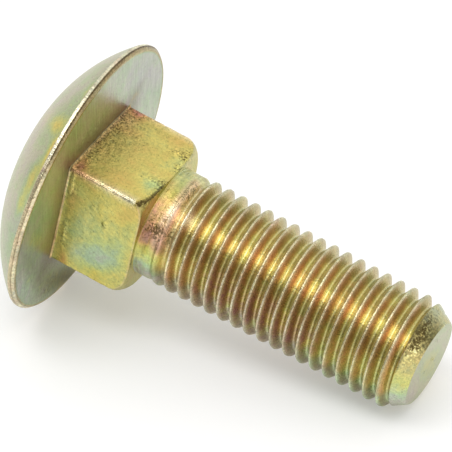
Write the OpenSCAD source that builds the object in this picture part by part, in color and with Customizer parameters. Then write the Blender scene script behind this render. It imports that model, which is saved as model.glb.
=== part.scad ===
// Carriage bolt: mushroom head, square neck, rolled-thread shank.
// One forged piece, lying as it comes to rest: on the rim of the head and on
// the last full turn of the thread. All sizes in millimetres.
// Along the bolt, s is the distance from the seat under the head, towards the tip.

/* [Shank] */
// Length from the seat under the head to the end face
length = 51.9; // [46:0.1:80]
// Major diameter of the thread, over its crests
thread_d = 15.7; // [15.3:0.05:16]
// Distance from the seat to the first full turn of the thread
thread_start = 14.55; // [14:0.05:22]
// Diameter of the plain shank between the neck and the thread
shank_d = 15.2; // [14.4:0.05:15.25]
// Length of the chamfer at the tip
tip_len = 3.1; // [1:0.1:4]
// Diameter of the flat end face
tip_d = 11.9; // [10:0.1:13]

/* [Square neck] */
// Width across the flats of the neck
neck_w = 16.1; // [16.05:0.05:16.7]
// Length of the neck, from the seat
neck_len = 11.5; // [10:0.05:13]
// Diameter over the blunted corners of the neck
neck_corner_d = 22.4; // [21.5:0.1:22.6]
// Radius that rounds the corners off at the shank end of the neck
neck_round = 2.4; // [1.5:0.1:3.4]

/* [Head] */
// Diameter of the head
head_d = 38.7; // [36:0.1:40]
// Height of the head over the seat
head_h = 8.5; // [8:0.1:9]
// Radius of the flatter crown in the middle of the head
crown_r = 42.6; // [38:0.1:48]
// Half angle that the crown covers before the tighter shoulder begins
crown_angle = 8.4; // [7:0.1:10]
// Radius of the shoulder of the head in section
shoulder_r = 21.5; // [20:0.1:22.5]
// Width of the bevel between the rim and the seat, along the bolt
bevel_s = 0.42; // [0.3:0.01:0.6]
// Width of the same bevel, across the bolt
bevel_r = 0.4; // [0.3:0.01:1.2]

/* [As forged] */
// How far the head sits off the axis of the shank: the bolt comes to rest with that side up
head_offset = 0.54; // [0:0.02:0.8]

/* [Hidden] */
$fn = 96;

rt = thread_d / 2;
rs = shank_d / 2;
re = tip_d / 2;
rh = head_d / 2;
rn = neck_corner_d / 2;
s_full = length - tip_len;              // where the last full thread ends
bury = 1.5;                             // how far neck and shank run into the head

// Section of the head: a crown arc and a shoulder arc that meet on one tangent
crown_s = crown_r - head_h;             // centre of the crown arc, on the axis
shoulder_c_r = (crown_r - shoulder_r) * sin(crown_angle);
shoulder_c_s = crown_s - (crown_r - shoulder_r) * cos(crown_angle);

// The bolt lies at an angle t to the surface, head to tip along +X and down.
// Lowest point of the rim and of the thread, measured from the shank's axis at the seat
function rim_low(t) = bevel_s * sin(t) - (rh - head_offset) * cos(t);
function thread_low(t) = -s_full * sin(t) - rt * cos(t);
// The angle at which both touch the same level surface
function settle(t, n) = n == 0 ? t
    : settle(t + (thread_low(t) - rim_low(t)) / s_full * 57.3, n - 1);
lie = settle(12.5, 40);

// Extents of the lying bolt along X, measured from the same point
x_tip = length * cos(lie) + re * sin(lie);
x_head = shoulder_c_s * cos(lie) + (head_offset - shoulder_c_r) * sin(lie) - shoulder_r;

// Crown arc and shoulder arc, as a half section: x is the radius, y is s
module crown_section() {
    intersection() {
        translate([0, crown_s]) circle(r = crown_r);
        polygon([[0, crown_s],
                 [crown_r * 1.1 * sin(crown_angle), crown_s - crown_r * 1.1 * cos(crown_angle)],
                 [0, crown_s - crown_r * 1.2]]);
        translate([0, -head_h - 1]) square([rh, head_h + 1 - bevel_s]);
    }
}

module shoulder_section() {
    intersection() {
        translate([shoulder_c_r, shoulder_c_s]) circle(r = shoulder_r);
        polygon([[0, crown_s],
                 [crown_r * 1.1 * sin(crown_angle), crown_s - crown_r * 1.1 * cos(crown_angle)],
                 [rh, crown_s - crown_r * 1.1 * cos(crown_angle)],
                 [rh, crown_s]]);
        translate([0, -head_h - 1]) square([rh, head_h + 1 - bevel_s]);
    }
}

module rim_section() {
    polygon([[0, -bevel_s], [rh, -bevel_s], [rh - bevel_r, 0], [0, 0]]);
}

module head() {
    rotate_extrude() union() {
        crown_section();
        shoulder_section();
        rim_section();
    }
}

// Square neck, its corners blunted and rounded off towards the shank
module neck() {
    intersection() {
        translate([-neck_w / 2, -neck_w / 2, -bury]) cube([neck_w, neck_w, neck_len + bury]);
        rotate_extrude() union() {
            translate([0, -bury]) square([rn, neck_len - neck_round + bury]);
            translate([0, -bury]) square([rn - neck_round, neck_len + bury]);
            intersection() {
                translate([rn - neck_round, neck_len - neck_round]) circle(r = neck_round);
                translate([rn - neck_round, neck_len - neck_round]) square([neck_round, neck_round]);
            }
        }
    }
}

// Plain shank, the run-in to the thread, the thread's outer cylinder and the chamfered tip
module shank() {
    translate([0, 0, -bury]) cylinder(r = rs, h = thread_start - (rt - rs) + bury);
    translate([0, 0, thread_start - (rt - rs)]) cylinder(r1 = rs, r2 = rt, h = rt - rs);
    translate([0, 0, thread_start]) cylinder(r = rt, h = s_full - thread_start);
    translate([0, 0, s_full]) cylinder(r1 = rt, r2 = re, h = tip_len);
}

module bolt() {
    color([0.80, 0.74, 0.46])
    translate([-(x_tip + x_head) / 2, 0, -rim_low(lie)])
    rotate([0, 90 + lie, 0]) rotate([0, 0, 180])
    union() {
        // the head, off the axis by the forging's own tolerance
        translate([head_offset, 0, 0]) head();
        neck();
        shank();
    }
}

bolt();
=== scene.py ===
import math

import bmesh
import bpy
import numpy as np
from mathutils import Matrix, Vector, noise


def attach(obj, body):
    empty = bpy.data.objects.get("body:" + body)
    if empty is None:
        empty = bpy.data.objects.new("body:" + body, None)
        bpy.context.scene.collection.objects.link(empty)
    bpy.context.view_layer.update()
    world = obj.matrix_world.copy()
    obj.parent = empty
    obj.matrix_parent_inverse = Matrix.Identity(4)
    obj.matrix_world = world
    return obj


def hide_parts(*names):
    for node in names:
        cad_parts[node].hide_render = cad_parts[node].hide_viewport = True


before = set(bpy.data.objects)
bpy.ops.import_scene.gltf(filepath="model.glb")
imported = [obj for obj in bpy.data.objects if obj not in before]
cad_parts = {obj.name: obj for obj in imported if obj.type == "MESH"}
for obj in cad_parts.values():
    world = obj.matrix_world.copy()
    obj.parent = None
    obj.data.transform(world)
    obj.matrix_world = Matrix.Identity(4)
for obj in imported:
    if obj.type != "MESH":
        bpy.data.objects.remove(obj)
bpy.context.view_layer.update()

# ---------------------------------------------------------------------------
# Sizes, in millimetres. s runs along the bolt from the seat under the head to
# the tip; angles run round the shank from straight up towards -Y.
# ---------------------------------------------------------------------------
LENGTH, TIP_LEN, TIP_R = 51.9, 3.1, 5.95
THREAD_R, ROOT_R, PITCH = 7.85, 6.62, 2.0
SHANK_R = 7.6
NECK_H, NECK_LEN, NECK_ROUND = 8.05, 11.5, 2.4
HEAD_R, HEAD_H, CROWN_R, CROWN_A, SHOULDER_R = 19.35, 8.5, 42.6, 8.4, 21.5
BEVEL_S, BEVEL_R, HEAD_OFFSET = 0.42, 0.40, 0.54
S_FULL = LENGTH - TIP_LEN
CREST_S, CREST_TURN = 16.22, 47.08       # a thread crest passes this s at this angle
LEAN, LEAN_TURN = 1.62, -99.0            # the head leans a little, as forged
OFF_TURN = 8.0                           # direction of the head's offset

crown_s = CROWN_R - HEAD_H
shoulder_cr = (CROWN_R - SHOULDER_R) * math.sin(math.radians(CROWN_A))
shoulder_cs = crown_s - (CROWN_R - SHOULDER_R) * math.cos(math.radians(CROWN_A))


def rim_low(t):
    return BEVEL_S * math.sin(t) - (HEAD_R - HEAD_OFFSET) * math.cos(t)


def thread_low(t):
    return -S_FULL * math.sin(t) - THREAD_R * math.cos(t)


lie = 0.22
for _ in range(60):
    lie += (thread_low(lie) - rim_low(lie)) / S_FULL
x_tip = LENGTH * math.cos(lie) + TIP_R * math.sin(lie)
x_head = shoulder_cs * math.cos(lie) + (HEAD_OFFSET - shoulder_cr) * math.sin(lie) - SHOULDER_R
ORIGIN = np.array([-(x_tip + x_head) / 2, 0.0, -rim_low(lie)])
UPWARD = np.array([math.sin(lie), 0.0, math.cos(lie)])
SIDE = np.array([0.0, -1.0, 0.0])
ALONG = np.array([math.cos(lie), 0.0, -math.sin(lie)])
AXES = np.array([UPWARD, SIDE, ALONG])


def to_row(local):
    """Bolt coordinates (up, side, along) in mm to the row frame in metres."""
    return (ORIGIN + np.asarray(local) @ AXES) / 1000.0


# ---------------------------------------------------------------------------
# Camera: the photograph's viewing angle, 452 x 452
# ---------------------------------------------------------------------------
FOCAL_PX = 4016.28
phi, psi = math.radians(15.1113), math.radians(28.1749)
axis_cam = np.array([math.cos(phi) * math.cos(psi), -math.cos(phi) * math.sin(psi), math.sin(phi)])
low, high = 0.3, 1.0
for _ in range(80):
    mid = (low + high) / 2
    if axis_cam[1] * math.cos(mid) + axis_cam[2] * math.sin(mid) + math.sin(lie) < 0:
        low = mid
    else:
        high = mid
tilt = (low + high) / 2
up_cam = np.array([0.0, math.cos(tilt), math.sin(tilt)])
x_cam = axis_cam - (axis_cam @ up_cam) * up_cam
x_cam /= np.linalg.norm(x_cam)
CAM_ROT = np.array([x_cam, np.cross(up_cam, x_cam), up_cam])
CAM_POS = ORIGIN - CAM_ROT @ np.array([-17.993, 5.892, -531.174])

cam_data = bpy.data.cameras.new("camera")
cam_data.sensor_width = 36.0
cam_data.lens = 36.0 * FOCAL_PX / 452.0
cam_data.clip_start, cam_data.clip_end = 0.05, 20.0
cam = bpy.data.objects.new("camera", cam_data)
bpy.context.scene.collection.objects.link(cam)
m = Matrix([list(CAM_ROT[i]) + [CAM_POS[i] / 1000.0] for i in range(3)] + [[0, 0, 0, 1]])
cam.matrix_world = m
bpy.context.scene.camera = cam


def to_pixels(local):
    """Where points given in bolt coordinates fall in the 452 x 452 frame."""
    row = ORIGIN + np.asarray(local) @ AXES
    c = (row - CAM_POS) @ CAM_ROT
    return np.stack([226 - FOCAL_PX * c[:, 0] / c[:, 2], 226 + FOCAL_PX * c[:, 1] / c[:, 2]], 1)


# ---------------------------------------------------------------------------
# Small helpers
# ---------------------------------------------------------------------------
def smooth(a, b, x):
    t = np.clip((np.asarray(x, float) - a) / (b - a), 0, 1)
    return t * t * (3 - 2 * t)


def soft_min(a, b, k):
    h = np.clip(0.5 + 0.5 * (b - a) / k, 0, 1)
    return b * (1 - h) + a * h - k * h * (1 - h)


def fractal(points, scale, seed, octaves=2):
    """Noise from -1 to 1 at each point; scale is the feature size in mm."""
    out = np.zeros(len(points))
    shift = Vector((seed * 13.7, seed * 7.3, seed * 3.1))
    for i, p in enumerate(points):
        v = Vector(p) / scale + shift
        t, amp = 0.0, 1.0
        for _ in range(octaves):
            t += amp * noise.noise(v)
            v = v * 2.03
            amp *= 0.5
        out[i] = t
    return out


def blur_path(path, sigma, step):
    """Rounds the corners of an evenly stepped path by a Gaussian of sigma mm."""
    n = int(4 * sigma / step)
    k = np.exp(-0.5 * (np.arange(-n, n + 1) * step / sigma) ** 2)
    k /= k.sum()
    padded = np.concatenate([2 * path[:1] - path[n:0:-1], path, 2 * path[-1:] - path[-2:-n - 2:-1]])
    return np.stack([np.convolve(padded[:, c], k, "valid") for c in (0, 1)], 1)


def stepped(corners, step):
    """An evenly stepped path through the given points, and the length at each."""
    corners = np.asarray(corners, float)
    seg = np.linalg.norm(np.diff(corners, axis=0), axis=1)
    at = np.concatenate([[0], np.cumsum(seg)])
    d = np.arange(0, at[-1] + step / 2, step)
    return np.stack([np.interp(d, at, corners[:, c]) for c in (0, 1)], 1), d, at


# ---------------------------------------------------------------------------
# Columns of the mesh: close together at the neck's four corners
# ---------------------------------------------------------------------------
theta = []
for k in range(4):
    corner = -135 + 90 * k
    theta += sorted({corner + sign * o for o in (0, 0.3, 0.7, 1.1, 1.6, 2.2, 2.9) for sign in (1, -1)})
    theta += [corner + 2.9 + (90 - 5.8) / 29 * (i + 1) for i in range(28)]
THETA = np.radians(theta)
M = len(THETA)
UNIT = np.stack([np.cos(THETA), np.sin(THETA)], 1)

DOME, RIM, UNDER, NECK, SHANK, THREAD, END = range(7)
rows, row_zone, row_mark = [], [], []


def add_row(local, zone, mark=0.0):
    rows.append(np.asarray(local, float))
    row_zone.append(zone)
    row_mark.append(mark)


# ---- head -----------------------------------------------------------------
lean = math.radians(LEAN)
lean_dir = np.array([math.cos(math.radians(LEAN_TURN)), math.sin(math.radians(LEAN_TURN))])
centre = HEAD_OFFSET * np.array([math.cos(math.radians(OFF_TURN)), math.sin(math.radians(OFF_TURN))])


def head_points(r, s):
    """Points at radius r and height s in the head's own, leaning frame."""
    r = np.broadcast_to(r, (M,))
    s = np.broadcast_to(s, (M,))
    ut = UNIT @ lean_dir
    pq = centre + r[:, None] * (UNIT - (ut * (1 - math.cos(lean)))[:, None] * lean_dir) + (s * math.sin(lean))[:, None] * lean_dir
    return np.column_stack([pq, -r * ut * math.sin(lean) + s * math.cos(lean)])


def seat_height(pq):
    return -((pq - centre) @ lean_dir) * math.tan(lean)


edge_angle = math.asin((HEAD_R - shoulder_cr) / SHOULDER_R)
crown = [(CROWN_R * math.sin(a), crown_s - CROWN_R * math.cos(a)) for a in np.linspace(0, math.radians(CROWN_A), 60)]
shoulder = [(shoulder_cr + SHOULDER_R * math.sin(a), shoulder_cs - SHOULDER_R * math.cos(a)) for a in np.linspace(math.radians(CROWN_A), edge_angle, 200)[1:]]
corners = crown + shoulder + [(HEAD_R, -BEVEL_S), (HEAD_R - BEVEL_R, 0), (HEAD_R - 3, 0)]
path, dist, at = stepped(corners, 0.01)
path = blur_path(path, 0.055, 0.01)
l1 = at[len(crown) + len(shoulder) - 1]
l2, l3 = l1 + (at[-3] - l1), at[-2]
near = np.array([-0.15, -0.075, 0, 0.075, 0.15])
stops = np.concatenate([np.linspace(0.5, l1 - 0.45, 42), [l1 - 0.28], l1 + near, l2 + near, [(l2 + l3) / 2], l3 + near])
for d in stops:
    r, s = np.interp(d, dist, path[:, 0]), np.interp(d, dist, path[:, 1])
    # faint waves left by the forging die, and nicks on the rim
    wave = 0.03 * np.sin(3 * THETA + 1.1) * smooth(10, 19, r) * smooth(0.2, -1.5, s)
    wave = wave + 0.012 * np.sin(17 * THETA + 2.3) * smooth(18.8, 19.3, r)
    for turn, deep, wide in ((113, 0.05, 1.1), (127, 0.07, 0.9), (104, -0.03, 1.4), (140, 0.04, 1.2), (61, 0.03, 1.5), (-60, 0.05, 1.3), (-130, 0.06, 1.6), (178, 0.05, 1.0)):
        off = (np.degrees(THETA) - turn + 180) % 360 - 180
        wave = wave - deep * np.exp(-0.5 * (off / wide) ** 2) * smooth(18.9, 19.3, r)
    add_row(head_points(r + wave, s), DOME if d < l1 - 0.1 else RIM, float(np.interp(d, [0, l1, l2, l3], [-1, 0, 1, 2])))
first_under = rows[-1][:, :2]

# ---- square neck ----------------------------------------------------------
flat_off = np.abs((np.degrees(THETA) + 45) % 90 - 45)


def bell(turn, middle, width):
    """A smooth hump around one angle, in degrees."""
    d = (turn - middle + 180) % 360 - 180
    return np.exp(-(d / width) ** 2)


TURN_DEG = np.degrees(THETA)
NEAR = bell(TURN_DEG, 45, 30)            # the corner of the neck that faces the camera
FAR = bell(TURN_DEG, -45, 38)


def square_radius(off_deg, rho):
    """Radius of the rounded square at an angle from the middle of a flat."""
    off = np.radians(off_deg)
    straight = NECK_H / np.cos(off)
    d = math.sqrt(2) * (NECK_H - rho)
    c = off - math.pi / 4
    disc = np.maximum(rho ** 2 - (d * np.sin(c)) ** 2, 0)
    arc = d * np.cos(c) + np.sqrt(disc)
    return np.where(off > np.arctan2(NECK_H - rho, NECK_H), arc, straight)


SQ = square_radius(flat_off, 0.40 + 0.30 * bell(TURN_DEG, 45, 12))
FILLET = 0.27
base_pq = UNIT * (SQ + FILLET)[:, None]
base_s = seat_height(base_pq)

for v in np.linspace(0, 1, 27)[1:]:
    pq = first_under * (1 - v) + base_pq * v
    add_row(np.column_stack([pq, seat_height(pq)]), UNDER)

neck_rows = []
for j in range(M):
    r0, s0 = SQ[j], base_s[j]
    fillet = [(r0 + FILLET * (1 - math.sin(a)), s0 + FILLET * (1 - math.cos(a))) for a in np.linspace(0, math.pi / 2, 12)]
    top = NECK_LEN - 0.35 * FAR[j]
    rho = NECK_ROUND - 0.7 * NEAR[j]
    r_c = 11.25 - rho
    if r0 > r_c:
        s_c = top - rho + math.sqrt(max(rho ** 2 - (r0 - r_c) ** 2, 0))
        a0 = math.asin(min((s_c - (top - rho)) / rho, 1))
        arc = [(r_c + rho * math.cos(a), top - rho + rho * math.sin(a)) for a in np.linspace(a0, math.pi / 2, 40)]
    else:
        s_c, arc = top, [(r0, top)]
    root = [(SHANK_R + 0.3 * (1 - math.sin(a)), top + 0.3 * (1 - math.cos(a))) for a in np.linspace(0, math.pi / 2, 10)]
    lead = [(r0 + FILLET + 1.0, s0)]
    pts = lead + fillet + [(r0, s_c)] + arc[1:] + root + [(SHANK_R, top + 1.6)]
    path, dist, at = stepped(pts, 0.01)
    path = blur_path(path, 0.12, 0.01)
    n = len(fillet)
    l_b, l_f, l_c = at[1], at[n], at[n + 1]
    l_e = at[n + 1 + len(arc) - 1]
    l_g = at[n + 1 + len(arc)]
    l_h = at[-2]
    part = [np.linspace(l_b, l_f, 7)[1:]]
    part.append(np.linspace(l_f, l_c - 0.42, 25)[1:])
    part.append(l_c + np.array([-0.3, -0.2, -0.12, -0.05]))
    gap = np.array([0.02, 0.07, 0.13, 0.2, 0.3, 0.42, 0.54, 0.66, 0.78, 0.9, 1.0])
    arc_len = l_e - l_c
    part.append(l_c + arc_len * gap + 0.008 * np.arange(1, len(gap) + 1))
    last = part[-1][-1]
    part.append(last + (l_g - last) * np.array([0.35, 0.7, 1.0]) if l_g > last else last + 0.01 * np.arange(1, 4))
    part.append(np.linspace(l_g, l_h, 6)[1:])
    part.append(l_h + np.array([0.25, 0.5, 0.8]))
    d = np.concatenate(part)
    neck_rows.append(np.stack([np.interp(d, dist, path[:, 0]), np.interp(d, dist, path[:, 1])], 1))
neck_rows = np.array(neck_rows)            # column, row, (r, s)
corner_w = np.exp(-((45 - flat_off) / 2.6) ** 2)
for i in range(neck_rows.shape[1]):
    r, s = neck_rows[:, i, 0], neck_rows[:, i, 1]
    probe = np.column_stack([UNIT * 11.0, s])
    nick = fractal(probe, 0.75, 41, 2) * corner_w * smooth(0.5, 1.2, s) * smooth(11.2, 10.2, s)
    r = r + 0.055 * np.minimum(nick, 0.25)
    add_row(np.column_stack([UNIT * r[:, None], s]), NECK if i < neck_rows.shape[1] - 6 else SHANK,
            float(np.interp(i, [29, 31, 34, 37, 40], [0, 0.6, 1, 0.6, 0])))
s_plain = float(rows[-1][0, 2])

# ---- shank and thread -----------------------------------------------------
S_A, S_B = 13.1, 51.55


def form_table():
    """Radius of the rolled thread against the distance from its crest."""
    u = np.linspace(-1, 1, 2001)
    a = np.abs(u)
    apex = THREAD_R + 0.125 * math.sqrt(3)
    r = np.minimum(apex - math.sqrt(3) * a, THREAD_R)
    rr = 0.289
    bowl = ROOT_R + rr - np.sqrt(np.maximum(rr ** 2 - (1 - a) ** 2, 0))
    r = np.where(a > 0.75, bowl, r)
    n = 120
    k = np.exp(-0.5 * (np.arange(-n, n + 1) * 0.001 / 0.035) ** 2)
    k /= k.sum()
    r = np.convolve(np.concatenate([r[-n - 1:-1], r, r[1:n + 1]]), k, "valid")
    return u, r


FORM_U, FORM_R = form_table()


def crest_offset(s, turn):
    """Signed distance along s from the nearest thread crest."""
    line = CREST_S + PITCH * (np.degrees(turn) - CREST_TURN) / 360
    return (s - line + PITCH / 2) % PITCH - PITCH / 2


def thread_radius(s, turn):
    s, turn = np.broadcast_arrays(np.asarray(s, float), np.asarray(turn, float))
    r = np.interp(crest_offset(s, turn), FORM_U, FORM_R)
    depth = smooth(13.2, 15.9, s)
    crest_cap = SHANK_R + (THREAD_R - SHANK_R) * smooth(13.6, 15.4, s)
    r = np.where(r < SHANK_R, SHANK_R + (r - SHANK_R) * depth, r)
    r = np.where(s < 18, soft_min(r, crest_cap, 0.04), r)
    cone = THREAD_R - (s - S_FULL) * (THREAD_R - TIP_R) / TIP_LEN
    return np.where(s > S_FULL - 0.6, soft_min(r, cone, 0.10), r)


for s in np.linspace(s_plain, S_A, 4)[1:]:
    r = thread_radius(s, THETA)
    add_row(np.column_stack([UNIT * r[:, None], np.full(M, s)]), SHANK)
first_block = len(rows)

offs = np.array([-0.90, -0.80, -0.72, -0.55, -0.35, -0.19, -0.13, -0.08, 0, 0.08, 0.13, 0.19, 0.35, 0.55, 0.72, 0.80, 0.90, 1.0])
N = len(offs)
k0 = math.floor((S_A - CREST_S) / PITCH) - 2
k1 = math.ceil((S_B - CREST_S) / PITCH) + 2
level = np.array([CREST_S - PITCH * CREST_TURN / 360 + k * PITCH + o for k in range(k0, k1 + 1) for o in offs])
grid_s = level[:, None] + PITCH * np.degrees(THETA)[None, :] / 360
grid_s = np.clip(grid_s, S_A, S_B)
keep = [i for i in range(len(level)) if i + N < len(level)]

verts, zones, marks = [], [], []
for r, z, mk in zip(rows, row_zone, row_mark):
    verts.append(r)
    zones += [z] * M
    marks += [mk] * M
base = len(rows) * M
grid_r = thread_radius(grid_s, np.broadcast_to(THETA, grid_s.shape))
# small irregularities of the rolled crests
tx = grid_s.ravel()
ang = np.tile(THETA, len(level))
probe = np.stack([np.cos(ang) * 7.8, np.sin(ang) * 7.8, tx], 1)
ragged = fractal(probe, 0.9, 3, 2)
over = smooth(7.55, 7.8, grid_r.ravel()) * smooth(14.6, 16.0, tx) * smooth(51.0, 49.0, tx)
nicked = (0.026 + 0.030 * smooth(27, 17, tx)) * ragged + 0.012 * smooth(30, 17, tx) * fractal(probe, 0.45, 7, 1)
grid_r = grid_r + (nicked * over).reshape(grid_r.shape)
grid_r[(grid_s <= S_A) | (grid_s >= S_B)] = thread_radius(grid_s, np.broadcast_to(THETA, grid_s.shape))[(grid_s <= S_A) | (grid_s >= S_B)]
grid = np.stack([grid_r * UNIT[:, 0], grid_r * UNIT[:, 1], grid_s], 2)
verts.append(grid.reshape(-1, 3))
zones += [THREAD] * grid_s.size

faces = []
for i in range(len(rows) - 1):
    for j in range(M):
        a, b = i * M + j, i * M + (j + 1) % M
        faces.append((a, b, b + M, a + M))


def g(i, j):
    """Vertex of the helical grid; one turn further is N rows on."""
    if j == M:
        i, j = i + N, 0
    return base + i * M + j


for i in range(len(level) - N - 1):
    for j in range(M):
        q = (g(i, j), g(i, j + 1), g(i + 1, j + 1), g(i + 1, j))
        faces.append(q)
count = base + grid_s.size

# ---- tip: rounded edge and end face ---------------------------------------
tip_rows = []
cone_r = float(THREAD_R - (S_B - S_FULL) * (THREAD_R - TIP_R) / TIP_LEN)
corners = [(cone_r + 0.6 * (THREAD_R - TIP_R) / TIP_LEN, S_B - 0.6), (TIP_R, LENGTH), (0, LENGTH - 0.03)]
path, dist, at = stepped(corners, 0.01)
path = blur_path(path, 0.09, 0.01)
edge = at[1]
for d in np.concatenate([edge + np.array([-0.2, -0.13, -0.07, 0, 0.07, 0.13, 0.2, 0.35]), np.linspace(edge + 0.6, at[-1] - 0.35, 13)]):
    r, s = np.interp(d, dist, path[:, 0]), np.interp(d, dist, path[:, 1])
    tip_rows.append(np.column_stack([UNIT * r, np.full(M, s)]))
start_tip = count
for k, r in enumerate(tip_rows):
    verts.append(r)
    zones += [END] * M
count += len(tip_rows) * M
top = np.array([g(len(level) - N - 1, j) for j in range(M)])
for j in range(M):
    jj = (j + 1) % M
    faces.append((int(top[j]), int(top[jj]), start_tip + jj, start_tip + j))
for i in range(len(tip_rows) - 1):
    for j in range(M):
        a, b = start_tip + i * M + j, start_tip + i * M + (j + 1) % M
        faces.append((a, b, b + M, a + M))

# ---- poles ----------------------------------------------------------------
tan_l = math.sin(lean)
pole_head = np.array([*(centre - HEAD_H * math.sin(lean) * lean_dir), -HEAD_H * math.cos(lean)])
pole_tip = np.array([0, 0, LENGTH - 0.03])
verts.append(np.array([pole_head, pole_tip]))
zones += [DOME, END]
for j in range(M):
    jj = (j + 1) % M
    faces.append((count, jj, j))
    a = start_tip + (len(tip_rows) - 1) * M
    faces.append((count + 1, a + j, a + jj))
local = np.concatenate(verts)
zones = np.array(zones)
marks = np.concatenate([marks, np.zeros(len(zones) - len(marks))])

# ---------------------------------------------------------------------------
# Mesh
# ---------------------------------------------------------------------------
mesh = bpy.data.meshes.new("bolt_body")
bm = bmesh.new()
layer = bm.verts.layers.int.new("src")
row_pts = to_row(local)
bv = []
for i, p in enumerate(row_pts):
    v = bm.verts.new(p)
    v[layer] = i
    bv.append(v)
bm.verts.ensure_lookup_table()
for f in faces:
    if len(set(f)) == len(f):
        try:
            bm.faces.new([bv[i] for i in f])
        except ValueError:
            pass
bmesh.ops.remove_doubles(bm, verts=bm.verts, dist=2e-7)
bmesh.ops.dissolve_degenerate(bm, edges=bm.edges, dist=1e-7)
loose = [v for v in bm.verts if not v.link_faces]
bmesh.ops.delete(bm, geom=loose, context="VERTS")
bmesh.ops.recalc_face_normals(bm, faces=bm.faces)
bmesh.ops.triangulate(bm, faces=[f for f in bm.faces if len(f.verts) > 4])
bm.verts.ensure_lookup_table()
src = np.array([v[layer] for v in bm.verts])
open_edges = sum(1 for e in bm.edges if len(e.link_faces) != 2)
tris = sum(len(f.verts) - 2 for f in bm.faces)
bm.verts.layers.int.remove(bm.verts.layers.int["src"])
bm.to_mesh(mesh)
bm.free()
print("bolt mesh:", len(mesh.vertices), "vertices", tris, "triangles", open_edges, "edges without two faces")
for p in mesh.polygons:
    p.use_smooth = True
bolt = bpy.data.objects.new("bolt_body", mesh)
bpy.context.scene.collection.objects.link(bolt)

L = local[src]
Z = zones[src]
MARK = marks[src]
NV = len(L)
R = np.hypot(L[:, 0], L[:, 1])
TURN = np.degrees(np.arctan2(L[:, 1], L[:, 0]))
S = L[:, 2]
normals = np.zeros(NV * 3, np.float32)
mesh.vertex_normals.foreach_get("vector", normals)
NRM = normals.reshape(-1, 3).astype(float) @ AXES.T
PIX = to_pixels(L)
view_l = AXES @ ((CAM_POS - ORIGIN) / np.linalg.norm(CAM_POS - ORIGIN))
FACING = NRM @ view_l > 0.05

# ---------------------------------------------------------------------------
# Finish of the surface, as fields over the mesh: thickness of the passivation
# film (its colour runs lilac, blue-green, yellow, gold, pink, purple), rough
# dark scale, bare pale metal, and some painted shade and painted highlights
# ---------------------------------------------------------------------------
film = np.zeros(NV)
dark = np.zeros(NV)
coarse = np.full(NV, 0.15)
brushed = np.zeros(NV)
want = np.zeros((NV, 3))
want_w = np.zeros(NV)

FILM_STOPS = [
    (0.00, (182, 178, 176)), (0.10, (178, 182, 164)), (0.20, (166, 186, 150)), (0.32, (184, 193, 126)),
    (0.45, (210, 197, 112)), (0.58, (213, 183, 106)), (0.68, (213, 162, 104)), (0.78, (198, 134, 112)),
    (0.88, (160, 110, 114)), (1.00, (108, 82, 74)),
]


def linear(r, g_, b):
    def f(c):
        c = c / 255.0
        return c / 12.92 if c <= 0.04045 else ((c + 0.055) / 1.055) ** 2.4
    return (f(r), f(g_), f(b))


def film_colour(f):
    at = [k for k, _ in FILM_STOPS]
    cols = np.array([linear(*c) for _, c in FILM_STOPS])
    return np.stack([np.interp(f, at, cols[:, i]) for i in range(3)], 1)


def keyed(x, keys):
    """Colours between named stops: keys are (position, (r, g, b))."""
    at = [k for k, _ in keys]
    cols = np.array([linear(*c) for _, c in keys])
    return np.stack([np.interp(x, at, cols[:, i]) for i in range(3)], 1)


def weight_at(zone, x, y, rx, ry, turn=0.0):
    """A soft patch on one zone of the surface. Its middle is the point that shows at x, y in
    the frame, and its size is measured over the surface from there, so it belongs to the bolt."""
    gap = np.hypot(PIX[:, 0] - x, PIX[:, 1] - y) + 1e6 * ~(zone & FACING)
    i = int(np.argmin(gap))
    normal = NRM[i]
    e1 = np.cross(normal, [0.0, 0.0, 1.0] if abs(normal[2]) < 0.8 else [1.0, 0.0, 0.0])
    e1 /= np.linalg.norm(e1)
    e2 = np.cross(normal, e1)
    px = to_pixels(np.array([L[i] + 0.5 * e1, L[i] - 0.5 * e1, L[i] + 0.5 * e2, L[i] - 0.5 * e2]))
    j = np.stack([px[0] - px[1], px[2] - px[3]], 1)
    d = L - L[i]
    across = np.stack([d @ e1, d @ e2], 1)
    dx, dy = (across @ j.T + PIX[i] - [x, y]).T
    c, n = math.cos(math.radians(turn)), math.sin(math.radians(turn))
    u, v = (dx * c + dy * n) / rx, (-dx * n + dy * c) / ry
    return np.exp(-(u * u + v * v) - (d @ normal / 3.5) ** 2) * zone


big = fractal(L, 9.0, 11, 2)
mid_n = fractal(L, 3.2, 23, 2)
small = fractal(L, 1.1, 31, 2)

is_dome, is_rim, is_under = Z == DOME, Z == RIM, Z == UNDER
is_neck, is_shank, is_thread, is_end = Z == NECK, Z == SHANK, Z == THREAD, Z == END
face_up = is_neck & (NRM[:, 0] > 0.75)
face_side = is_neck & (NRM[:, 1] > 0.75)
shoulder = is_neck & (NRM[:, 2] > 0.45) & (S > 8)
fillet = is_neck & (S < 0.45)
TE = (TURN - CREST_TURN + 180) % 360 - 180      # angle round the shank from the line at CREST_TURN

# dome, rim and underside
film[is_dome] = (0.12 + 0.09 * big + 0.05 * mid_n)[is_dome]
film[is_rim] = (0.5 + 0.1 * mid_n)[is_rim]
film[is_under] = (0.13 + 0.07 * big + 0.05 * mid_n)[is_under]
from_neck = np.maximum(np.abs(L[:, 0]), np.abs(L[:, 1])) - NECK_H
brushed[is_under] = 1.0
glint = np.zeros(NV)

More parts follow.
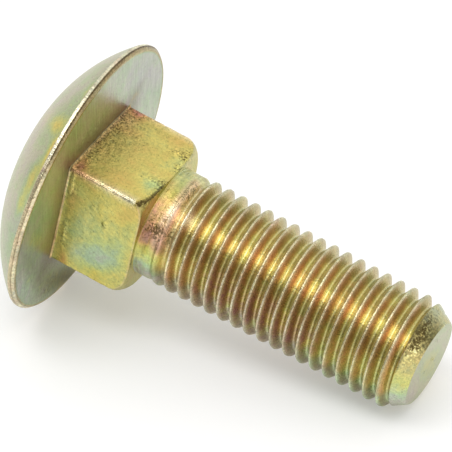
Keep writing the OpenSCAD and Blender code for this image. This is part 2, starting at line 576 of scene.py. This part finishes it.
# neck, shank, tip
film[is_neck] = (0.48 + 0.07 * big + 0.06 * mid_n)[is_neck]
film[face_side] -= 0.07
film[is_shank] = np.interp(TE, [-180, -90, -60, -45, -20, -5, 10, 20, 27, 34, 42, 54, 68, 90, 180],
                           [0.5, 0.38, 0.36, 0.50, 0.66, 0.70, 0.76, 0.81, 0.82, 0.50, 0.36, 0.2, 0.06, 0.25, 0.5])[is_shank]
film[is_shank] += (0.05 * mid_n + 0.03 * small)[is_shank]
shank_c = keyed(TE + 9 * mid_n + 4 * small, [
    (-180, (190, 184, 130)), (-90, (196, 194, 146)), (-60, (208, 208, 148)), (-46, (208, 208, 138)), (-33, (196, 176, 106)),
    (-18, (208, 172, 120)), (-3, (216, 178, 134)), (12, (196, 152, 120)), (24, (192, 148, 124)), (31, (196, 166, 106)),
    (38, (196, 190, 104)), (48, (192, 196, 122)), (58, (174, 192, 154)), (70, (184, 182, 172)), (90, (184, 186, 152)), (180, (190, 184, 130)),
])
run_out = smooth(13.0, 13.8, S) * smooth(16.0, 15.2, S) * smooth(-75, -55, TE) * smooth(44, 26, TE)
shank_c = shank_c * (1 - 0.6 * run_out[:, None]) + 0.6 * run_out[:, None] * linear(220, 186, 156)
film[is_end] = (0.15 + 0.05 * big + 0.04 * mid_n)[is_end]

# thread: the film is thin on crests, thicker down the flanks
U = crest_offset(S, np.radians(TURN))
flank = keyed(U, [
    (-1.0, (208, 196, 126)), (-0.82, (213, 208, 160)), (-0.65, (203, 204, 174)), (-0.32, (216, 214, 188)),
    (-0.19, (216, 210, 176)), (-0.10, (208, 199, 161)), (0.0, (200, 187, 146)), (0.10, (212, 194, 160)),
    (0.19, (198, 165, 130)), (0.30, (186, 142, 98)), (0.42, (175, 129, 80)), (0.62, (184, 138, 74)),
    (0.82, (224, 206, 136)), (1.0, (207, 197, 126)),
])
violet = keyed(U, [
    (-1.0, (186, 164, 114)), (-0.65, (178, 184, 122)), (-0.32, (212, 211, 164)), (-0.10, (211, 199, 168)),
    (0.10, (193, 178, 152)), (0.32, (153, 109, 104)), (0.65, (143, 93, 74)), (0.82, (192, 163, 120)),
    (1.0, (186, 168, 116)),
])
olive = keyed(U, [
    (-1.0, (190, 184, 132)), (-0.32, (188, 188, 154)), (-0.10, (206, 200, 168)), (0.10, (192, 186, 150)),
    (0.32, (176, 160, 108)), (0.8, (190, 172, 112)), (1.0, (190, 184, 130)),
])
low_side = smooth(8, 34, TE + 8 * mid_n) * smooth(100, 70, TE) * smooth(17, 24, S) * smooth(47, 34, S + 4 * big)
top_side = smooth(-38, -68, TE + 8 * mid_n)
flank = flank * (1 - low_side[:, None]) + violet * low_side[:, None]
flank = flank * (1 - top_side[:, None]) + olive * top_side[:, None]
green_side = smooth(36, 42, S + 3 * big) * smooth(6, 30, TE + 6 * mid_n)
grey_low = keyed(U, [
    (-1.0, (176, 172, 138)), (-0.32, (198, 192, 164)), (-0.10, (206, 200, 174)), (0.10, (198, 190, 164)),
    (0.32, (152, 131, 92)), (0.65, (130, 108, 68)), (0.82, (186, 180, 140)), (1.0, (176, 172, 138)),
])
tip_low = keyed(U, [
    (-1.0, (186, 188, 125)), (-0.65, (176, 176, 146)), (-0.32, (196, 200, 166)), (-0.10, (206, 204, 170)),
    (0.0, (196, 185, 142)), (0.10, (200, 184, 140)), (0.32, (198, 158, 104)), (0.65, (202, 166, 92)),
    (0.82, (208, 196, 124)), (1.0, (186, 188, 125)),
])
flank = flank * (1 - green_side[:, None]) + tip_low * green_side[:, None]
end_w = (smooth(50, 68, TE + 4 * mid_n) * smooth(140, 100, TE))[:, None]
flank = flank * (1 - end_w) + end_w * grey_low * (1 + smooth(34, 40, S)[:, None] * np.array([-0.02, 0.22, 0.10]))
full = is_thread & (S > 15.2) & (S < S_FULL + 0.2)
into = smooth(14.4, 15.9, S)[:, None]
flank = flank * into + shank_c * (1 - into)
film[is_thread] = (0.52 + 0.05 * big)[is_thread]
film[is_thread] += (0.25 * low_side * smooth(0.1, 0.4, np.abs(U)))[is_thread]
want[is_thread] = flank[is_thread]
want_w[is_thread] = 1.0
red_side = smooth(-50, -20, TE) * smooth(12, -4, TE) * smooth(0.25, 0.4, U) * smooth(0.75, 0.6, U)
want[is_thread] *= (1 + 0.14 * mid_n + 0.10 * small)[is_thread, None]
on_crest = bell(U, 0.02, 0.26)
# bare, pale crests where the rolling dies rubbed, in patches all round
want[is_thread] *= (1 + (on_crest * np.clip(0.04 + 0.32 * small, -0.10, 0.25))[:, None] * np.array([0.7, 0.85, 1.1]))[is_thread]
want[is_thread] *= (1 + (red_side * (0.4 + mid_n))[:, None] * np.array([0.08, -0.13, 0.02]))[is_thread]

cone_line = THREAD_R - (S - S_FULL) * (THREAD_R - TIP_R) / TIP_LEN
cone = (is_thread | is_end) & (S > S_FULL - 0.1) & (R > TIP_R - 0.1) & (R > cone_line - 0.16)
film[cone] = (np.interp(TE, [-100, -60, -20, 0, 38, 52, 90, 130], [0.36, 0.30, 0.42, 0.46, 0.42, 0.14, 0.14, 0.36]) + 0.04 * mid_n)[cone]
# the chamfer's colour round the bolt; the dark stretch from -48 to -12 is partly dark, rough scale and partly painted
# shade for the dark surroundings it reflects
cone_colour_and_shade = keyed(TE + 5 * mid_n + 3 * small, [
    (-180, (204, 197, 124)), (-100, (190, 190, 150)), (-60, (180, 182, 142)), (-48, (160, 156, 114)), (-36, (126, 121, 80)),
    (-24, (112, 104, 66)), (-12, (146, 136, 90)), (-3, (194, 182, 122)), (5, (204, 193, 128)), (16, (200, 190, 130)), (35, (205, 204, 124)),
    (46, (198, 206, 150)), (57, (184, 196, 172)), (72, (192, 190, 176)), (100, (182, 188, 160)), (180, (204, 197, 124)),
])
lip = smooth(S_FULL + 0.9, S_FULL + 0.2, S)[:, None] * smooth(0, 25, TE)[:, None]
cone_colour_and_shade = cone_colour_and_shade * (1 - lip) + lip * linear(206, 198, 172)
want[cone & ~full] = cone_colour_and_shade[cone & ~full]
want_w[cone & ~full] = 1.0
glint[is_thread] = (0.25 + 0.75 * smooth(0.22, 0.1, np.abs(U)))[is_thread]
glint[cone & ~full] = 0.35

want[is_shank] = shank_c[is_shank]
want_w[is_shank] = 0.9
coarse[is_shank | (is_thread & (S < 15.5))] = (0.75 - 0.55 * run_out)[is_shank | (is_thread & (S < 15.5))]

# rim: a bright narrow band, a dark broken line, a dull bevel
rim_c = keyed(MARK, [(-0.6, (190, 186, 140)), (-0.2, (178, 166, 120)), (0.05, (226, 218, 190)), (0.88, (226, 218, 188)),
                     (1.02, (110, 92, 60)), (1.22, (84, 68, 42)), (1.4, (160, 142, 104)), (2.0, (166, 150, 108))])
rim_low_c = keyed(MARK, [(-0.6, (200, 194, 150)), (-0.1, (178, 166, 126)), (0.05, (214, 200, 164)), (0.85, (190, 176, 142)), (1.05, (150, 134, 102)),
                         (1.25, (222, 208, 172)), (1.7, (228, 216, 182)), (2.0, (180, 166, 128))])
lower = smooth(42, 60, TURN)
rim_c = rim_c * (1 - lower[:, None]) + rim_low_c * lower[:, None]
want[is_rim] = (rim_c * (1 + 0.35 * small + 0.15 * mid_n)[:, None])[is_rim]
want_w[is_rim] = 1.0
glint[is_rim] = 0.8
edge_dome = is_dome & (MARK > -0.2)
dark[is_rim] = ((0.42 + 0.3 * small) * (1 - 0.6 * lower))[is_rim] * smooth(0.75, 1.0, MARK[is_rim]) * smooth(1.7, 1.3, MARK[is_rim])

# shoulder, corners and base of the neck
want[shoulder] = linear(188, 182, 116)
want_w[shoulder] = 0.8
near_edge = is_neck & (np.abs(np.abs(TURN) - 45) < 4.5) & (S > 0.3) & (S < 10.2)
w_edge = np.exp(-((np.abs(TURN) - 45) / 2.4) ** 2) * 0.9
want[near_edge] = (keyed(S, [(0, (168, 120, 90)), (2.5, (206, 166, 128)), (5, (226, 206, 166)), (10, (242, 236, 208))]) * (1 + 0.5 * small)[:, None])[near_edge]
want_w[near_edge] = w_edge[near_edge]
glint[near_edge] = w_edge[near_edge]
end_edge = face_side & (MARK > 0.3)
want[end_edge] = linear(206, 188, 138)
want_w[end_edge] = (0.8 * MARK)[end_edge]
want[fillet] = (np.where((NRM[:, 0] > 0.3)[:, None], linear(158, 140, 96), linear(184, 158, 118)) * (1 + 0.6 * small)[:, None])[fillet]
want_w[fillet] = 0.9
# painted shade: the edge where the neck's upper flat rounds off at its end is darkened, from the flat's middle to the
# near corner
neck_end_shade = MARK * is_neck * (S > 7) * smooth(4, 20, TURN + 5 * mid_n) * smooth(47, 44, TURN)
want = want * (1 - neck_end_shade[:, None]) + neck_end_shade[:, None] * linear(98, 94, 60)
want_w = np.maximum(want_w, 0.9 * neck_end_shade)
dark += 0.45 * neck_end_shade
base_band = face_up | (fillet & (NRM[:, 0] > 0.2))
reach = np.interp(L[:, 1], [-8, 0, 8], [4.4, 3.2, 1.6]) * (1 + 0.5 * mid_n)
base_w = np.exp(-np.maximum(S - 0.2, 0) / reach) * base_band
dark += 0.36 * base_w
brown = (0.6 * base_w * face_up)[:, None]
want = want * (1 - brown) + brown * (linear(208, 170, 114) + smooth(2, -7, L[:, 1])[:, None] * np.array([0.12, 0.05, 0.07]))
want_w = np.where(face_up, np.maximum(want_w, brown[:, 0]), want_w)
# painted shade: the underside darkens all round towards the neck, where it meets the neck
painted_shade_by_neck = smooth(4.5, 0.2, from_neck) * is_under
want[is_under] = film_colour(np.clip(film, 0, 1))[is_under] * (1 - painted_shade_by_neck[:, None] * np.array([0.36, 0.46, 0.46]))[is_under]
want_w[is_under] = 1.0

# patches of the film, by where they show: zone, x, y, half widths, turn, film, strength
for zone, x, y, rx, ry, turn, value, strength in (
    (is_dome, 93, 90, 24, 5, -50, 0.44, 0.8), (is_dome, 57, 124, 12, 8, -50, 0.48, 0.85), (is_dome, 70, 108, 14, 5, -56, 0.22, 0.7),
    (is_dome, 41, 143, 13, 7, -62, 0.16, 0.9), (is_dome, 51, 151, 20, 3.5, -62, 0.54, 0.85), (is_dome, 31, 180, 19, 5, -68, 0.48, 0.8),
    (is_dome, 20, 205, 14, 4, -74, 0.62, 0.4), (is_dome, 13, 180, 13, 5, -75, 0.20, 0.6), (is_dome, 13, 245, 18, 5, -100, 0.36, 0.6),
    (is_dome, 112, 60, 16, 4, -38, 0.10, 0.6),
    (is_under, 148, 76, 12, 18, 0, 0.02, 0.9), (is_under, 144, 99, 7, 8, 0, 0.18, 0.7), (is_under, 135, 98, 2, 6, 30, 0.60, 0.6),
    (is_under, 30, 262, 12, 26, 10, 0.18, 0.7), (is_under, 62, 278, 18, 8, -35, 0.62, 0.7), (is_under, 84, 135, 34, 10, -50, 0.12, 0.5),
    (is_under, 38, 235, 7, 22, 18, 0.26, 0.6), (is_under, 58, 185, 8, 22, 22, 0.10, 0.6),
    (face_up, 150, 184, 10, 15, -50, 0.34, 0.8), (face_up, 118, 152, 16, 12, 0, 0.40, 0.6), (face_up, 138, 112, 9, 7, 30, 0.86, 0.8),
    (face_up, 80, 166, 9, 6, -30, 0.88, 0.8), (face_up, 176, 140, 16, 9, 35, 0.58, 0.6), (face_up, 128, 184, 16, 8, 20, 0.52, 0.6),
    (face_side, 86, 224, 14, 13, 0, 0.30, 0.8), (face_side, 100, 257, 26, 17, 15, 0.13, 0.95), (face_side, 122, 214, 12, 14, 0, 0.52, 0.7),
    (face_side, 84, 279, 30, 4, 24, 0.56, 0.7), (face_side, 62, 258, 6, 9, 0, 0.72, 0.8), (face_side, 108, 280, 14, 8, 15, 0.42, 0.7),
    (is_end, 429, 366, 18, 7, -62, 0.36, 0.7), (is_end, 412, 392, 16, 9, -40, 0.03, 0.8), (is_end, 441, 340, 12, 10, 0, 0.11, 0.7),
    (face_side, 73, 196, 4, 18, 8, 0.66, 0.6), (face_side, 127, 262, 7, 18, 10, 0.42, 0.6),
):
    w = strength * weight_at(zone, x, y, rx, ry, turn)
    film[:] = film * (1 - w) + (value + 0.05 * mid_n) * w

# dark, rough scale, and some painted shade: zone, x, y, half widths, turn, amount
shank_end = is_shank | (is_thread & (S < 17))
for zone, x, y, rx, ry, turn, amount in (
    (face_up | fillet, 106, 139, 40, 8, -46.5, 0.12), (face_up, 124, 124, 16, 10, -46, 0.08), (face_up, 92, 158, 12, 6, -46, 0.12),
    # painted shade: these five patches run along the rounded end of the neck, where its rounding reflects dark
    # surroundings
    (is_neck, 138, 204.5, 5, 3.0, -10, 0.75), (is_neck, 146, 201.5, 5, 2.4, -15, 0.65), (is_neck, 153, 197.5, 4, 2.2, -35, 0.6),
    (is_neck, 159, 192, 4.5, 2.0, -45, 0.6), (is_neck, 165, 185.5, 4.5, 1.8, -50, 0.5),
    (is_neck, 184, 160, 4, 3, -40, 0.62), (is_neck, 178, 168, 4, 3, -40, 0.56), (is_neck, 192, 153, 4, 3, -40, 0.36),
    (shank_end, 157, 232, 9, 8, 0, 0.80), (shank_end, 151, 223, 8, 5, -50, 0.40), (shank_end, 171, 238, 4, 12, 25, 0.5),
    (shank_end, 190, 194, 5, 16, 40, 0.48), (is_neck, 190, 160, 4, 4, 0, 0.25),
    # partly painted shade: the dark band across the chamfer, which is also dark, rough scale
    (cone, 422, 334, 20, 8, -58, 0.80), (cone, 414, 347, 8, 6, -58, 0.45), (cone, 433, 317, 13, 8, -55, 0.14),
    (is_end, 432.5, 359, 1.5, 1.2, 0, 0.8), (is_end, 437, 341, 1.2, 1.0, 0, 0.5), (is_end, 424, 372, 1.0, 1.0, 0, 0.5),
    (face_side, 104, 225, 1.6, 3.6, -20, 0.6), (face_side, 93, 207, 4, 3, 0, 0.22), (face_side, 120, 233, 3, 2, 0, 0.22),
    (face_side | fillet, 72, 186, 2.5, 20, 8, 0.35), (face_side, 64, 232, 3, 12, 8, 0.3),
    (is_under, 92, 132, 24, 5, -47, 0.2), (is_under, 66, 262, 16, 8, -20, 0.1), (is_under, 46, 292, 16, 6, -45, 0.22), (is_under, 28, 284, 6, 10, 0, 0.10),
):
    dark += amount * weight_at(zone, x, y, rx, ry, turn)
coarse += 0.9 * smooth(0.1, 0.45, dark) * ~is_rim

# painted highlights: two near-white streaks on the shank where its highlights fall; the surface is also made smoother
# and clear of scale there
for x, y, rx, ry, turn in ((171.5, 213, 8, 2.3, -60), (185.5, 217, 8, 2.0, -60)):
    w = weight_at(shank_end, x, y, rx, ry, turn)
    coarse *= 1 - 0.9 * w
    dark *= 1 - 0.8 * w
    want = want * (1 - 0.75 * w[:, None]) + 0.75 * w[:, None] * linear(236, 226, 204)

# painted shade: darker where the underside meets the lower side of the neck, where it reflects the neck's dark side
for x, y, rx, ry, turn, depth in ((68, 276, 20, 12, -30, 0.75), (46, 285, 16, 12, -50, 0.30), (36, 262, 14, 16, 0, 0.22)):
    w = (depth * weight_at(is_under, x, y, rx, ry, turn))[:, None]
    want = want * (1 - w * np.array([0.72, 0.78, 0.92]))
mottle = np.select([face_side, is_neck, is_under, is_dome, is_shank, is_end], [0.60, 0.42, 0.40, 0.28, 1.0, 0.35], 0.0)
mottle[cone] = 0.45
mottle += 0.7 * weight_at(is_under, 38, 284, 28, 22)
drawn_w = np.select([face_side, face_up], [0.9, 0.5], 0.0)
# bright specks on the chamfer's dark band: partly bare metal through the scale, partly painted glints
bare_and_glint = weight_at(cone, 418, 343, 17, 7, -58)
rolled = (full & (S < S_FULL)) * smooth(15.5, 17, S)
ringed = (is_shank | (is_thread & (S < 16.2))).astype(float)
mottle += 0.8 * smooth(0.1, 0.45, dark)

tint = np.ones((NV, 3))
ratio = np.clip(want / np.maximum(film_colour(np.clip(film, 0, 1)), 0.01), 0.05, 4)
# painted light and shade: the neck's upper flat is made lighter and its side flat darker
tint[face_side] = 0.95
tint[face_up] = 1.10
tint[is_dome] = (1.05, 0.95, 0.84)
tint[is_end] = (1.05, 0.95, 0.88)
tint = tint * (1 - want_w[:, None]) + ratio * want_w[:, None]
for zone, x, y, rx, ry, turn, tone in (
    (is_under, 146, 78, 20, 26, 0, (-0.02, -0.09, 0.11)), (is_under, 25, 290, 10, 12, 0, (0.14, 0.14, 0.34)),
    # painted shade: these four tones darken the underside by the lower side of the neck, where it reflects the neck's
    # dark side
    (is_under, 57, 281, 14, 9, -30, (-0.10, -0.16, -0.42)), (is_under, 66, 275, 7, 6, -30, (-0.14, -0.18, -0.35)), (is_under, 30, 264, 8, 10, 0, (-0.12, -0.12, -0.20)), (is_under, 50, 276, 20, 12, -30, (-0.05, 0.0, -0.20)),
    (is_dome, 14, 235, 13, 36, 10, (-0.16, -0.08, 0.0)), (is_dome, 30, 175, 8, 14, 20, (-0.16, -0.14, -0.10)),
    (is_dome, 84, 83, 18, 8, -46, (0.07, 0.09, 0.14)), (is_dome, 49, 119, 9, 8, 0, (0.12, 0.04, -0.04)),
    (face_up, 152, 180, 9, 9, 0, (0.08, 0.15, 0.24)), (face_up, 118, 156, 18, 12, 0, (0.07, 0.10, 0.12)),
    (face_side, 80, 222, 10, 22, 5, (0.16, 0.16, 0.42)), (face_side, 74, 251, 8, 8, 0, (0.04, 0.05, 0.42)),
    (face_side, 78, 191, 9, 9, 0, (0.05, 0.10, 0.30)), (face_side, 93, 273, 18, 6, 22, (-0.08, -0.12, -0.30)),
    (face_side, 127, 222, 9, 14, 0, (-0.12, -0.10, -0.12)), (shank_end, 160, 263, 6, 7, 0, (0.36, 0.32, 0.30)),
    (shank_end, 170, 201, 14, 5, -58, (-0.12, -0.02, -0.24)), (shank_end, 184, 185, 6, 6, 0, (-0.14, -0.04, -0.06)),
    (shank_end, 148, 251, 5, 5, 0, (-0.14, -0.14, -0.26)), (is_end, 422, 386, 10, 10, 0, (0.10, 0.06, 0.06)),
    (is_end, 432, 362, 12, 16, 0, (0.08, 0.0, 0.05)), (face_up, 130, 120, 9, 7, -45, (0.20, 0.08, 0.36)), (face_up, 134, 138, 12, 14, 0, (0.08, 0.07, 0.10)),
):
    tint *= 1 + weight_at(zone, x, y, rx, ry, turn)[:, None] * np.array(tone)

for name, values in {"film": film, "dark": dark, "coarse": coarse, "brushed": brushed, "glint": glint, "mottle": mottle, "ringed": ringed, "drawn": drawn_w, "bare_and_glint": bare_and_glint, "rolled": rolled}.items():
    layer = mesh.attributes.new(name, "FLOAT", "POINT")
    layer.data.foreach_set("value", np.clip(values, 0, 1).astype(np.float32))
for name, values in {"tint": tint, "bolt_mm": L}.items():
    layer = mesh.attributes.new(name, "FLOAT_VECTOR", "POINT")
    layer.data.foreach_set("vector", np.asarray(values, np.float32).ravel())

# ---------------------------------------------------------------------------
# Material
# ---------------------------------------------------------------------------
mat = bpy.data.materials.new("yellow_passivated_zinc")
mat.use_nodes = True
nt = mat.node_tree
nt.nodes.clear()
links = nt.links


def node(kind, **values):
    n = nt.nodes.new(kind)
    for k, v in values.items():
        if k in n.inputs:
            n.inputs[k].default_value = v
        else:
            setattr(n, k, v)
    return n


def math_node(op, a, b=None, clamp=False):
    n = nt.nodes.new("ShaderNodeMath")
    n.operation = op
    n.use_clamp = clamp
    for i, x in enumerate((a, b)):
        if x is None:
            continue
        if isinstance(x, (int, float)):
            n.inputs[i].default_value = x
        else:
            links.new(x, n.inputs[i])
    return n.outputs[0]


def attribute(name):
    n = nt.nodes.new("ShaderNodeAttribute")
    n.attribute_type = "GEOMETRY"
    n.attribute_name = name
    return n.outputs["Fac"]


def grain(scale, detail=3.0, roughness=0.5, vector=None):
    n = nt.nodes.new("ShaderNodeTexNoise")
    n.inputs["Scale"].default_value = scale
    n.inputs["Detail"].default_value = detail
    n.inputs["Roughness"].default_value = roughness
    links.new(vector or coords.outputs["Object"], n.inputs["Vector"])
    return n.outputs["Fac"]


def mix_colour(fac, a, b):
    n = nt.nodes.new("ShaderNodeMix")
    n.data_type = "RGBA"
    if isinstance(fac, (int, float)):
        n.inputs[0].default_value = fac
    else:
        links.new(fac, n.inputs[0])
    for k, x in ((6, a), (7, b)):
        if isinstance(x, tuple):
            n.inputs[k].default_value = x
        else:
            links.new(x, n.inputs[k])
    return n.outputs[2]


coords = nt.nodes.new("ShaderNodeTexCoord")
f_film, f_dark, f_coarse, f_brushed, f_glint, f_mottle, f_ringed, f_drawn, f_bare_and_glint, f_rolled = (
    attribute(n) for n in ("film", "dark", "coarse", "brushed", "glint", "mottle", "ringed", "drawn", "bare_and_glint", "rolled"))
bolt_mm = nt.nodes.new("ShaderNodeAttribute")
bolt_mm.attribute_type = "GEOMETRY"
bolt_mm.attribute_name = "bolt_mm"
n_wide = grain(420, 3, 0.55)
n_fine = grain(1700, 4, 0.6)
n_grit = grain(3300, 3, 0.6)
n_speck = grain(6500, 2, 0.5)

# fine scratches across the underside of the head
turned = nt.nodes.new("ShaderNodeMapping")
turned.inputs["Rotation"].default_value = (0, 0, math.radians(-20))
links.new(bolt_mm.outputs["Vector"], turned.inputs["Vector"])
stretched = nt.nodes.new("ShaderNodeMapping")
stretched.inputs["Scale"].default_value = (0.22, 4.2, 1.0)
links.new(turned.outputs[0], stretched.inputs["Vector"])
n_scratch = grain(1.0, 3, 0.6, stretched.outputs[0])


# faint drawing marks along the neck's flats
askew = nt.nodes.new("ShaderNodeMapping")
askew.inputs["Rotation"].default_value = (0, math.radians(24), 0)
links.new(bolt_mm.outputs["Vector"], askew.inputs["Vector"])
drawn = nt.nodes.new("ShaderNodeMapping")
drawn.inputs["Scale"].default_value = (3.4, 0.8, 0.7)
links.new(askew.outputs[0], drawn.inputs["Vector"])
n_drawn = grain(1.0, 3, 0.6, drawn.outputs[0])

# rolling marks round the shank
rings = nt.nodes.new("ShaderNodeMapping")
rings.inputs["Scale"].default_value = (0.30, 0.30, 3.2)
links.new(bolt_mm.outputs["Vector"], rings.inputs["Vector"])
n_ring = grain(1.0, 3, 0.6, rings.outputs[0])


def centred(n, gain):
    return math_node("MULTIPLY", math_node("SUBTRACT", n, 0.5), gain)


def mix_value(fac, a, b):
    return math_node("ADD", math_node("MULTIPLY", a, math_node("SUBTRACT", 1.0, fac)), math_node("MULTIPLY", b, fac))


amount = math_node("ADD", f_film, centred(n_wide, 0.26))
amount = math_node("ADD", amount, centred(n_fine, 0.16))
amount = math_node("ADD", amount, centred(n_grit, 0.05))
amount = math_node("ADD", amount, centred(n_speck, 0.02), clamp=True)
ramp = nt.nodes.new("ShaderNodeValToRGB")
links.new(amount, ramp.inputs[0])
cr = ramp.color_ramp
cr.interpolation = "LINEAR"
while len(cr.elements) > 1:
    cr.elements.remove(cr.elements[-1])
cr.elements[0].position = FILM_STOPS[0][0]
cr.elements[0].color = (*linear(*FILM_STOPS[0][1]), 1)
for pos, c in FILM_STOPS[1:]:
    e = cr.elements.new(pos)
    e.color = (*linear(*c), 1)
tinted = nt.nodes.new("ShaderNodeVectorMath")
tinted.operation = "MULTIPLY"
links.new(ramp.outputs[0], tinted.inputs[0])
tint_in = nt.nodes.new("ShaderNodeAttribute")
tint_in.attribute_type = "GEOMETRY"
tint_in.attribute_name = "tint"
links.new(tint_in.outputs["Vector"], tinted.inputs[1])
# a little light and shade in the plating itself
shade = math_node("ADD", 1.0, math_node("ADD", centred(n_grit, 0.45), centred(n_speck, 0.45)))
shade = math_node("ADD", shade, math_node("MULTIPLY", centred(n_scratch, 0.9), f_brushed))
shade = math_node("ADD", shade, math_node("MULTIPLY", centred(n_grit, 1.1), f_glint))
shade = math_node("ADD", shade, math_node("MULTIPLY", centred(n_fine, 0.9), f_mottle))
shade = math_node("ADD", shade, math_node("MULTIPLY", centred(n_ring, 0.8), f_ringed))
shade = math_node("ADD", shade, math_node("MULTIPLY", centred(n_drawn, 0.55), f_drawn))
shade = math_node("ADD", shade, math_node("MULTIPLY", centred(n_grit, 4.2), f_dark))
shade = math_node("ADD", shade, math_node("MULTIPLY", centred(n_fine, 2.4), f_dark))
# bright specks over the chamfer's dark band: partly bare metal, partly painted glints
shade = math_node("ADD", shade, math_node("MULTIPLY", math_node("MAXIMUM", centred(n_grit, 14.0), 0.0), f_bare_and_glint))
shade = math_node("MAXIMUM", shade, 0.15)
shaded = nt.nodes.new("ShaderNodeVectorMath")
shaded.operation = "SCALE"
links.new(tinted.outputs[0], shaded.inputs[0])
links.new(shade, shaded.inputs["Scale"])
colour = shaded.outputs[0]
broken = math_node("ADD", centred(n_grit, -1.3), centred(n_speck, -3.0))
broken = math_node("ADD", broken, centred(n_fine, -0.8))
dark_mask = math_node("MULTIPLY", math_node("SUBTRACT", math_node("ADD", math_node("MULTIPLY", f_dark, 1.15), broken), 0.58), 2.6, clamp=True)
colour = mix_colour(math_node("MULTIPLY", dark_mask, 0.85), colour, (*linear(96, 80, 44), 1))

rough = math_node("ADD", 0.20, math_node("MULTIPLY", n_fine, 0.14))
rough = math_node("ADD", rough, math_node("MULTIPLY", f_coarse, 0.15))
rough = math_node("ADD", rough, math_node("MULTIPLY", math_node("MULTIPLY", n_scratch, f_brushed), 0.12))
rough = math_node("ADD", rough, math_node("MULTIPLY", f_glint, -0.05))
rough = math_node("ADD", rough, math_node("MULTIPLY", dark_mask, 0.2), clamp=True)

height = math_node("MULTIPLY", n_fine, math_node("ADD", 0.5, math_node("MULTIPLY", f_coarse, 1.5)))
height = math_node("MULTIPLY", height, math_node("SUBTRACT", 1.0, math_node("MULTIPLY", f_rolled, 0.7)))
height = math_node("ADD", height, math_node("MULTIPLY", n_grit, math_node("ADD", 0.25, math_node("MULTIPLY", f_coarse, 1.6))))
height = math_node("ADD", height, math_node("MULTIPLY", n_grit, math_node("ADD", math_node("MULTIPLY", f_dark, 2.6), math_node("MULTIPLY", f_glint, 2.0))))
height = math_node("ADD", height, math_node("MULTIPLY", math_node("MULTIPLY", n_ring, f_ringed), 2.0))
height = math_node("ADD", height, math_node("MULTIPLY", math_node("MULTIPLY", n_drawn, f_drawn), 1.0))
height = math_node("ADD", height, math_node("MULTIPLY", n_wide, math_node("SUBTRACT", 0.8, math_node("MULTIPLY", f_rolled, 0.5))))
height = math_node("ADD", height, math_node("MULTIPLY", n_speck, math_node("ADD", 0.12, math_node("MULTIPLY", f_coarse, 0.5))))
height = math_node("ADD", height, math_node("MULTIPLY", math_node("MULTIPLY", n_scratch, f_brushed), 0.5))
bump = nt.nodes.new("ShaderNodeBump")
bump.inputs["Strength"].default_value = 0.8
bump.inputs["Distance"].default_value = 0.00006
links.new(height, bump.inputs["Height"])

bsdf = nt.nodes.new("ShaderNodeBsdfPrincipled")
bsdf.inputs["Metallic"].default_value = 1.0
links.new(colour, bsdf.inputs["Base Color"])
links.new(rough, bsdf.inputs["Roughness"])
bsdf.inputs["Specular Tint"].default_value = (0.97, 0.97, 0.93, 1)
links.new(bump.outputs[0], bsdf.inputs["Normal"])
out = nt.nodes.new("ShaderNodeOutputMaterial")
links.new(bsdf.outputs[0], out.inputs[0])
mesh.materials.append(mat)

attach(bolt, "root")
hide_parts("bolt")

# ---------------------------------------------------------------------------
# Floor, light, world
# ---------------------------------------------------------------------------
floor_mesh = bpy.data.meshes.new("floor")
bm = bmesh.new()
bmesh.ops.create_circle(bm, cap_ends=True, radius=1.6, segments=64)
bm.to_mesh(floor_mesh)
bm.free()
floor = bpy.data.objects.new("floor", floor_mesh)
floor.location = (0, 0, -0.00004)
bpy.context.scene.collection.objects.link(floor)
fmat = bpy.data.materials.new("pale_floor")
fmat.use_nodes = True
fb = fmat.node_tree.nodes["Principled BSDF"]
fb.inputs["Base Color"].default_value = (0.76, 0.76, 0.76, 1)
fb.inputs["Emission Color"].default_value = (1, 1, 1, 1)
fb.inputs["Emission Strength"].default_value = 0.26
fb.inputs["Roughness"].default_value = 0.9
fb.inputs["Specular IOR Level"].default_value = 0.1
floor_mesh.materials.append(fmat)


def softbox(name, position, size, power, target=(0, 0, 0.015)):
    data = bpy.data.lights.new(name, "AREA")
    data.shape = "RECTANGLE"
    data.size, data.size_y = size
    data.energy = power
    o = bpy.data.objects.new(name, data)
    o.location = position
    aim = Vector(target) - Vector(position)
    o.rotation_mode = "QUATERNION"
    o.rotation_quaternion = aim.to_track_quat("-Z", "Y")
    o.visible_camera = False
    bpy.context.scene.collection.objects.link(o)
    return o


softbox("top_softbox", (-0.04, -0.27, 0.70), (0.70, 0.30), 2.05)

world = bpy.data.worlds.new("studio")
bpy.context.scene.world = world
world.use_nodes = True
wn = world.node_tree
wn.nodes.clear()
wc = wn.nodes.new("ShaderNodeTexCoord")
wd = wn.nodes.new("ShaderNodeVectorMath")
wd.operation = "DOT_PRODUCT"
dark_dir = Vector((-0.19, -0.92, 0.35)).normalized()
wd.inputs[1].default_value = dark_dir
wn.links.new(wc.outputs["Generated"], wd.inputs[0])
wr = wn.nodes.new("ShaderNodeMapRange")
wr.interpolation_type = "SMOOTHSTEP"
wr.inputs["From Min"].default_value = 0.60
wr.inputs["From Max"].default_value = 0.93
wr.inputs["To Min"].default_value = 0.95
wr.inputs["To Max"].default_value = 0.35
wn.links.new(wd.outputs["Value"], wr.inputs["Value"])
bg = wn.nodes.new("ShaderNodeBackground")
bg.inputs["Color"].default_value = (1.0, 0.995, 0.985, 1)
wn.links.new(wr.outputs[0], bg.inputs["Strength"])
wo = wn.nodes.new("ShaderNodeOutputWorld")
wn.links.new(bg.outputs[0], wo.inputs[0])

view = bpy.context.scene.view_settings
view.view_transform = "Standard"
view.look = "None"
view.exposure = 0.0
view.gamma = 1.0
